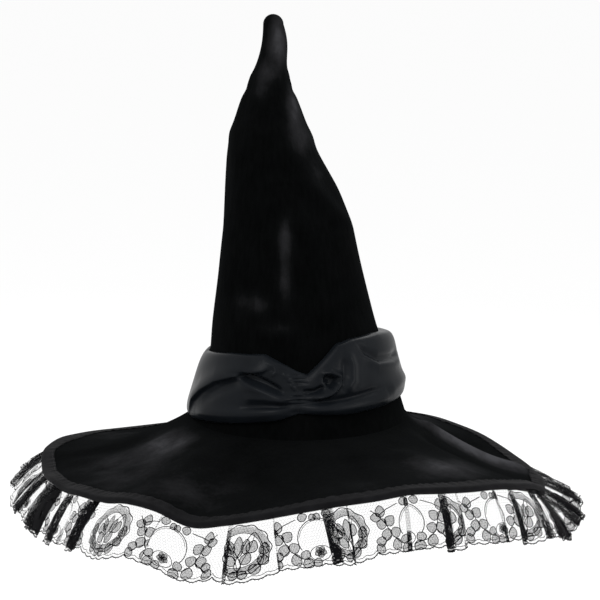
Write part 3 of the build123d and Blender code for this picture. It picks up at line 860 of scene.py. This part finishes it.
def make_band():
    angles = np.linspace(0, 360, 640, endpoint=False)[:, None]
    shares = np.linspace(0, 1, 72)[None, :]
    outer = band_surface(angles, shares, 1.0)
    inner = band_surface(angles, shares[:, ::-1], 0.0)
    loops = np.concatenate([outer, inner], 1)
    band = sewn_grid("satin_band_folded", loops, SATIN, wrap_rows=True, wrap_columns=True)
    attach(band, "hat_base")
    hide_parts("satin_band", "satin_band_back_join")
    rise = np.linspace(0.12, 0.90, 12)
    line = band_surface(np.full(rise.shape, 270.0), rise, 1.0) - np.array([0, 0.1, 0])
    tack = stitched_line("band_front_stitches", line, 3.2, 2.6, 0.55, SEWING_THREAD)
    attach(tack, "hat_base")
    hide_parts("band_front_tack")


# ---- lace -------------------------------------------------------------------------------------------
def edge_lengths():
    """Angle against distance round the brim's edge, from the back over the left to the back again."""
    angles = np.linspace(90, 450, 1441)
    edge = brim_surface(angles, 1.0)
    steps = np.linalg.norm(edge[1:] - edge[:-1], axis=1)
    return angles, np.concatenate([[0], np.cumsum(steps)])


EDGE_ANGLES, EDGE_DISTANCE = edge_lengths()


# folds of the gathered lace: angle, width, sideways slant of the lower end, pairs of layers
FRONT_PLEATS = [
    (191, 22, -10, 4), (202, 52, -6, 5), (212, 20, -12, 2), (222, 20, -20, 4), (241.5, 4, -17, 1),
    (256.3, 6, -4, 1),
    (265, 3, 8, 1), (275.5, 12, 10, 2), (279.5, 3, 5, 1), (291.5, 5, 0, 1), (300, 10, 3, 2), (303.5, 3, 2, 1),
    (314, 4, 4, 1), (320, 7, 1, 2), (329, 10, 6, 2), (337, 18, 4, 3),
]  # fmt: skip
LACE_LEAN = [0.88, 0.82, 0.80, 0.50, 0.80, 0.88, 0.74, 0.38, 0.28, 0.26, 0.28, 0.42]


def all_pleats():
    """Front folds as listed, and tighter gathers at the two sides, then evenly round the back."""
    pleats = [(*p[:3], p[3]) for p in FRONT_PLEATS]
    angle = 343.0
    while angle < 447:
        at_side = math.exp(-(((angle - 358) / 14) ** 2))
        pleats.append((angle, rng.uniform(9, 13), rng.uniform(-7, 7), 3 if at_side > 0.25 else 1))
        angle += 9.4 - 4.6 * at_side + rng.uniform(-1.0, 1.0)
    angle = 187.0
    while angle > 93:
        at_side = math.exp(-(((angle - 176) / 14) ** 2))
        pleats.append((angle, rng.uniform(9, 13), rng.uniform(-7, 7), 3 if at_side > 0.25 else 1))
        angle -= 9.4 - 4.6 * at_side + rng.uniform(-1.0, 1.0)
    return sorted(pleats)


def ruffle_paths():
    """The gathered lace's top and bottom lines: distances round the edge and outwards, against length."""
    around, outward = [[0.0], [0.0]], [[0.0], [0.0]]
    for angle, fold, slant, pairs in all_pleats():
        place = float(np.interp(angle, EDGE_ANGLES, EDGE_DISTANCE))
        swell, shuffle = rng.uniform(1.0, 4.0), rng.uniform(-1.5, 1.5, 10)
        for line, loose in ((0, 0.0), (1, 1.0)):
            middle = place + slant * loose
            around[line].append((around[line][-1] + middle) / 2)
            outward[line].append(0.4 + swell * loose)
            for k in range(pairs):
                half = fold / 2 * (1 - 0.12 * k) * (1 - 0.15 * loose)
                around[line] += [middle + half + shuffle[k] * loose, middle - half + shuffle[k + 5] * loose]
                outward[line] += [0.9 - 1.1 * k + 1.2 * loose, -0.1 - 1.1 * k - 1.2 * loose]
            around[line].append(middle + fold / 2 * (1 - 0.1 * loose) + 1.5)
            outward[line].append(-0.9 - 1.1 * (pairs - 1) - 1.5 * loose)
    for line in (0, 1):
        around[line].append(EDGE_DISTANCE[-1])
        outward[line].append(0.0)
    top = np.stack([around[0], outward[0]], 1)
    steps = np.hypot(*(top[1:] - top[:-1]).T)
    length = np.concatenate([[0], np.cumsum(steps)])
    s = np.arange(0, length[-1], 0.5)
    kernel = np.exp(-0.5 * (np.arange(-8, 9) / 1.8) ** 2)
    kernel /= kernel.sum()
    paths = []
    for line in (0, 1):
        for values in (around[line], outward[line]):
            ends = np.pad(np.interp(s, length, values), 8, mode="reflect", reflect_type="odd")
            paths.append(np.convolve(ends, kernel, mode="valid"))
    return s, paths


LACE_S, LACE_PATHS = ruffle_paths()
LACE_LENGTH = float(LACE_S[-1])


def flat_place(angle):
    """Distance along the flat lace of the place that hangs at an angle of the brim."""
    around = float(np.interp(angle, EDGE_ANGLES, EDGE_DISTANCE))
    return float(LACE_S[np.argmin(np.abs(LACE_PATHS[0] - around))])


def lace_place(s, depth, raised=0.0):
    """Place on the gathered lace of a point of the flat lace: how far along it, and how far down."""
    top_a, top_n, low_a, low_n = (np.interp(s, LACE_S, p) for p in LACE_PATHS)
    t = depth / LACE_DEPTH
    around = top_a + (low_a - top_a) * t
    angle = np.interp(around, EDGE_DISTANCE, EDGE_ANGLES)
    outward = top_n + (low_n - top_n) * t + raised
    a = np.radians(angle)
    lean = round_table(LACE_LEAN, angle)
    edge = brim_surface(angle, 1.0, BRIM_STACK + TAPE_THICK + 0.2)
    bow = 2.5 * np.sin(np.clip(t, 0, 1) * math.pi)
    out = -1.5 + depth * lean + (outward + bow) * np.sqrt(1 - lean**2)
    fall = depth * np.sqrt(1 - lean**2) - (outward + bow) * lean
    r_dir = np.stack([np.cos(a), np.sin(a), 0 * a], -1)
    return edge + r_dir * out[..., None] + np.array([0, 0, -1.0]) * fall[..., None]


REPEAT = 140.0
# how far the hanging lace leans outwards, as a share of its depth, every 30 degrees


def hem_depth(s):
    """Depth of the scalloped hem along the flat lace: a wide scallop under each shell, small ones between."""
    u = np.mod(s, REPEAT)
    shell = np.where(u < 60, np.sin(math.pi * np.clip(u / 60, 0, 1)), 0) ** 0.6 * 6.0
    ring = np.where(u >= 60, np.sin(math.pi * np.clip((u - 60) / 80, 0, 1)), 0) ** 0.6 * 2.5
    return 43.5 + shell + ring + 1.8 * np.abs(np.sin(math.pi * s / 10.0)) ** 0.8


class FlatWork:
    """Flat ribbons of thread, drawn in millimetres, x along the lace and y down it."""

    def __init__(self):
        self.points, self.faces = [], []

    def ribbon(self, line, width, step=1.4, closed=False):
        line = np.asarray(line, float)
        if closed:
            line = np.concatenate([line, line[:1]])
        gaps = np.hypot(*(line[1:] - line[:-1]).T)
        length = np.concatenate([[0], np.cumsum(gaps)])
        if length[-1] < 0.2:
            return
        at = np.linspace(0, length[-1], max(2, int(math.ceil(length[-1] / step)) + 1))
        line = np.stack([np.interp(at, length, line[:, k]) for k in (0, 1)], 1)
        along = np.gradient(line, axis=0)
        along /= np.maximum(np.hypot(*along.T), 1e-9)[:, None]
        side = np.stack([-along[:, 1], along[:, 0]], 1) * width / 2
        first = len(self.points)
        self.points += np.concatenate([line + side, line - side]).tolist()
        n = len(line)
        self.faces += [[first + i, first + i + 1, first + n + i + 1, first + n + i] for i in range(n - 1)]

    def hatch(self, outline, angle, pitch, thread=0.42):
        """Fine parallel threads across the inside of a closed outline."""
        turn = math.radians(angle)
        spin = np.array([[math.cos(turn), math.sin(turn)], [-math.sin(turn), math.cos(turn)]])
        points = np.asarray(outline) @ spin.T
        ahead = np.roll(points, -1, axis=0)
        for level in np.arange(points[:, 1].min() + pitch / 2, points[:, 1].max(), pitch):
            cut = (points[:, 1] - level) * (ahead[:, 1] - level) < 0
            a, b = points[cut], ahead[cut]
            xs = np.sort(a[:, 0] + (level - a[:, 1]) / (b[:, 1] - a[:, 1]) * (b[:, 0] - a[:, 0]))
            for x0, x1 in zip(xs[::2], xs[1::2]):
                self.ribbon(np.array([(x0, level), (x1, level)]) @ spin, thread, 3.0)

    def filled(self, outline, cord, angle, pitch, thread=0.42):
        self.ribbon(outline, cord, closed=True)
        self.hatch(outline, angle, pitch, thread)

    def leaf(self, base, tip, width, cord=0.7, pitch=0.8, curl=0.0):
        """Rounded leaf between two points, its outline corded and its inside hatched; curl bends it aside."""
        width = width * LEAF_FULLNESS
        base, tip = np.array(base, float), np.array(tip, float)
        axis = tip - base
        size = np.hypot(*axis)
        across = np.array([-axis[1], axis[0]]) / size
        t = np.linspace(0, 1, 17)
        swell = np.sin(math.pi * t**0.8) ** 0.65 * width / 2
        line = base + t[:, None] * axis + across * (curl * np.sin(math.pi * t))[:, None]
        outline = np.concatenate([line + across * swell[:, None], (line - across * swell[:, None])[::-1]])
        if pitch:
            self.filled(outline, cord, math.degrees(math.atan2(axis[1], axis[0])) + 62, pitch)
        else:
            self.ribbon(outline, cord, closed=True)

    def arc(self, centre, r, start, end, width, squash=1.0):
        t = np.radians(np.linspace(start, end, 30))
        self.ribbon(np.stack([centre[0] + r * np.cos(t), centre[1] + r * squash * np.sin(t)], 1), width)

    def rose(self, centre, r):
        """Small rose: a ring of round petals about a coiled heart."""
        for k in range(5):
            a = 0.3 + k * 2 * math.pi / 5
            tip = (centre[0] + 2 * r * math.cos(a), centre[1] + 2 * r * math.sin(a))
            self.leaf(centre, tip, 1.4 * r, 0.5, 0.65)
        self.arc(centre, r * 0.5, 0, 320, 0.3)


SHELL, RING = (30.0, 24.0), (98.0, 24.0)
LEAF_FULLNESS = 1.5


def flower_work():
    """One repeat of the lace's flowers: a ribbed shell with two big leaves, then twigs round a clear ring."""
    work = FlatWork()
    t = np.radians(np.linspace(0, 360, 72, endpoint=False))
    rim = 21.5 * (1 + 0.035 * np.cos(11 * t))
    outline = np.stack([SHELL[0] + 1.12 * rim * np.cos(t), SHELL[1] + 0.98 * rim * np.sin(t)], 1)
    work.ribbon(outline, 0.8, closed=True)
    inner = np.stack([SHELL[0] + 1.12 * 15 * np.cos(t), SHELL[1] + 0.98 * 15 * np.sin(t)], 1)
    for k in np.arange(0, 360, 2.3):
        a = math.radians(k)
        way = np.array([1.12 * math.cos(a), 0.98 * math.sin(a)])
        work.ribbon([np.array(SHELL) + way * 15.5, np.array(SHELL) + way * 20.9], 0.42, 3.0)
    work.ribbon(inner, 0.7, closed=True)
    foot = (30, 42)
    work.leaf(foot, (16, 12), 11, 0.75, 0, curl=-4)
    work.leaf(foot, (42, 10), 12, 0.75, 0, curl=4)
    for base, tip, width in [
        ((27, 36), (20, 27), 5), ((22, 28), (17, 19), 5.5), ((25, 26), (21, 15), 4), ((33, 36),
        (38, 27), 5.5),
        ((38, 27), (42, 17), 6), ((34, 27), (36, 15), 4.5), ((29, 30), (29, 12), 5.5), ((12, 30), (9, 20), 5),
        ((48, 30), (50, 20), 5), ((14, 38), (10, 31), 5.5), ((46, 38), (50, 31), 5.5), ((22, 43),
        (14, 39), 6),
        ((38, 43), (46, 39), 6), ((30, 45), (23, 44.5), 5), ((30, 45), (37, 44.5), 5),
    ]:  # fmt: skip
        work.leaf(base, tip, width)
    work.ribbon([foot, (28, 33), (22, 22), (17, 14)], 0.6)
    work.ribbon([foot, (33, 33), (39, 22), (42, 12)], 0.6)
    work.arc(RING, 16.5, 150, 395, 0.75)
    work.arc(RING, 15.0, 190, 340, 0.4)
    work.arc((98, 37), 8.5, 0, 360, 0.6, 0.75)
    work.rose((98, 36), 2.5)
    for line in (
        [(58, 8), (64, 13), (70, 22), (74, 31), (82, 39), (91, 42)],
        [(138, 8), (132, 13), (127, 22), (124, 31), (116, 39), (106, 42)],
        [(64, 13), (72, 9), (82, 6)],
        [(132, 13), (124, 9), (114, 6)],
        [(74, 31), (68, 36), (64, 40)],
        [(124, 31), (130, 36), (134, 40)],
    ):
        work.ribbon(line, 0.75)
    for base, tip, width in [
        ((70, 22), (62, 19), 6), ((70, 22), (77, 16), 6), ((66, 15), (66, 5), 5.5), ((66, 15), (57, 14), 5),
        ((74, 31), (65, 29), 6.5), ((74, 31), (82, 28), 6), ((68, 36), (60, 34), 5.5), ((66, 39),
        (60, 43), 6),
        ((82, 39), (74, 41), 7), ((84, 40), (88, 33), 5), ((91, 42), (83, 46), 6), ((92, 42), (97, 47), 5),
        ((127, 22), (135, 19), 6), ((127, 22), (120, 16), 6), ((131, 15), (131, 5), 5.5), ((131, 15),
        (139, 14), 5),
        ((124, 31), (133, 29), 6.5), ((124, 31), (116, 28), 6), ((130, 36), (137, 34), 5.5),
        ((132, 39), (138, 43), 6),
        ((116, 39), (124, 42), 7), ((113, 40), (109, 33), 5), ((106, 42), (114, 46), 6), ((84, 6),
        (92, 4), 4.5),
        ((112, 6), (104, 4), 4.5), ((98, 4), (94, 9), 4), ((98, 4), (102, 9), 4),
    ]:  # fmt: skip
        work.leaf(base, tip, width)
    return work


def hem_work():
    """One repeat of the hem: two cords along the scallops and a row of tiny loops below them."""
    work = FlatWork()
    s = np.linspace(0, REPEAT, 200)
    depth = hem_depth(s)
    work.ribbon(np.stack([s, depth], 1), 0.95, 1.2)
    work.ribbon(np.stack([s, depth - 3.0], 1), 0.55, 1.6)
    for k in np.arange(1.2, REPEAT, 2.4):
        d = float(hem_depth(np.array(k)))
        work.ribbon([(k - 0.8, d), (k - 0.6, d + 1.3), (k + 0.6, d + 1.3), (k + 0.8, d)], 0.36, 3.0)
    work.ribbon([(0, 0.8), (REPEAT, 0.8)], 1.4, 2.0)
    return work


NET_PITCH = 2.6
# the repeats start so that a shell hangs flat at the front, left of the middle
PATTERN_START = (SHELL[0] - flat_place(231.0)) % REPEAT


def net_column():
    """One column of the six-sided net ground, from the tape to past the hem."""
    work = FlatWork()
    rise = NET_PITCH / math.sqrt(3)
    for k in range(int(LACE_DEPTH / (3 * rise)) + 1):
        y = k * 3 * rise
        x = NET_PITCH / 2
        for line in (
            [(0, y), (0, y + rise)],
            [(0, y + rise), (x, y + 1.5 * rise)],
            [(0, y), (x, y - 0.5 * rise)],
            [(x, y + 1.5 * rise), (x, y + 2.5 * rise)],
            [(x, y + 2.5 * rise), (2 * x, y + 3 * rise)],
            [(x, y + 1.5 * rise), (2 * x, y + rise)],
        ):
            work.ribbon(line, 0.13, 9.0)
    return work


def laid_in_a_row(work, name, spacing, count):
    """Flat repeats laid along the whole lace, as points in millimetres and faces."""
    points = np.array(work.points)
    unit = mesh_piece(f"{name}_unit", np.c_[points, np.zeros(len(points))], work.faces, turn_out=False)
    values = {"Count": count, "Spacing": spacing * MM, "First": 0.0, "Material": LACE_THREAD}
    row = grown(unit, ROW, values, name)
    flat = np.empty(len(row.data.vertices) * 3, np.float32)
    row.data.vertices.foreach_get("co", flat)
    corners = np.empty(len(row.data.loops), np.int32)
    row.data.loops.foreach_get("vertex_index", corners)
    bpy.data.objects.remove(row)
    points = flat.reshape(-1, 3).astype(float) / MM
    points[:, 0] -= PATTERN_START
    return points, corners.reshape(-1, 4)


def half_mesh(points, faces, keep):
    """Only the faces to keep, with the points that they use."""
    faces = faces[keep]
    used = np.unique(faces)
    place = np.full(len(points), -1)
    place[used] = np.arange(len(used))
    return points[used], place[faces]


def make_lace():
    middle = flat_place(270.0)
    rows = [
        ("lace_flowers", flower_work(), REPEAT, 0.25),
        ("lace_hem_cords", hem_work(), REPEAT, 0.30),
        ("lace_net_threads", net_column(), NET_PITCH, 0.12),
    ]
    extras = {"left": [], "right": []}
    for name, work, spacing, raised in rows:
        flat, faces = laid_in_a_row(work, name, spacing, int(LACE_LENGTH / spacing) + 3)
        centre = flat[faces].mean(1)
        over_hem = centre[:, 1] - hem_depth(centre[:, 0] + PATTERN_START)
        inside = (centre[:, 0] > 0) & (centre[:, 0] < LACE_LENGTH) & (centre[:, 1] > 0) & (over_hem < 2.2)
        if name == "lace_net_threads":
            inside &= over_hem < -0.5
        shaped = lace_place(flat[:, 0], flat[:, 1], raised)
        for side, part in (("left", centre[:, 0] < middle), ("right", centre[:, 0] >= middle)):
            points, kept = half_mesh(shaped, faces, inside & part)
            piece = mesh_piece(f"{name}_{side}", points, kept, LACE_THREAD, turn_out=False)
            ride_brim(piece)
            extras[side].append(piece)
    spans = {"left": (0.0, middle), "right": (middle, LACE_LENGTH)}
    for side, (start, end) in spans.items():
        s = np.arange(start, end, 1.3)
        t = np.linspace(0, 1, 15)
        depth = t[None, :] * (hem_depth(s + PATTERN_START)[:, None] - 0.5)
        grid = lace_place(s[:, None] + 0 * t[None, :], depth)
        net = sewn_grid(f"lace_ground_{side}", grid, TULLE)
        ride_brim(net)
        where = "back" if side == "left" else "front"
        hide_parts(f"lace_{side}", f"lace_{where}")


# ---- light and view ---------------------------------------------------------------------------------
def look(obj, target):
    direction = np.array(target) - np.array(obj.location)
    yaw = math.atan2(-direction[0], direction[1])
    pitch = math.atan2(direction[2], math.hypot(direction[0], direction[1]))
    obj.rotation_euler = (math.pi / 2 + pitch, 0, yaw)


def make_studio():
    floor_mesh = bpy.data.meshes.new("studio_floor")
    low = cad_floor - 0.55
    corners = [(-30, -30, low), (30, -30, low), (30, 30, low), (-30, 30, low)]
    floor_mesh.from_pydata(corners, [], [(0, 1, 2, 3)])
    floor = bpy.data.objects.new("studio_floor", floor_mesh)
    bpy.context.scene.collection.objects.link(floor)
    pale = material_with("pale_floor", (0.97, 0.97, 0.97), 1.0, Specular_IOR_Level=0.0)[0]
    floor_mesh.materials.append(pale)
    world = bpy.data.worlds.new("studio")
    bpy.context.scene.world = world
    world.use_nodes = True
    world.node_tree.nodes["Background"].inputs["Color"].default_value = (1, 1, 1, 1)
    world.node_tree.nodes["Background"].inputs["Strength"].default_value = 1.0
    for name, place, size, power in [
        ("key_light", (-0.9, -1.5, 1.9), 1.0, 22),
        ("fill_light", (1.7, -0.9, 0.8), 0.8, 10),
        ("back_light", (0.4, 1.6, 1.7), 1.4, 16),
    ]:
        light = bpy.data.lights.new(name, "AREA")
        light.size, light.energy = size, power
        lamp = bpy.data.objects.new(name, light)
        bpy.context.scene.collection.objects.link(lamp)
        lamp.location = place
        look(lamp, (0, 0, 0.1))
    rise, away, target = math.radians(11), 1.968, np.array([0, 0, 0.1094])
    camera_data = bpy.data.cameras.new("camera")
    camera_data.lens, camera_data.sensor_width = 36 * away / 0.5643, 36
    camera_data.shift_x = 1.5 / 600
    camera = bpy.data.objects.new("camera", camera_data)
    bpy.context.scene.collection.objects.link(camera)
    camera.location = target + away * np.array([0, -math.cos(rise), math.sin(rise)])
    look(camera, target)
    bpy.context.scene.camera = camera
    bpy.context.scene.view_settings.view_transform = "Standard"


cad_floor = min(corner[2] for corner in np.array(cad_box).reshape(-1, 3))
make_studio()
make_crown()
make_sweatband()
make_head_seam()
make_brim()
make_band()
make_lace()
for node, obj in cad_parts.items():
    if "wadding" in node:
        finish = WADDING
    elif "wire" in node:
        finish = WIRE
    elif "tack" in node or "lace" in node:
        finish = SEWING_THREAD
    else:
        continue
    obj.data.materials.clear()
    obj.data.materials.append(finish)
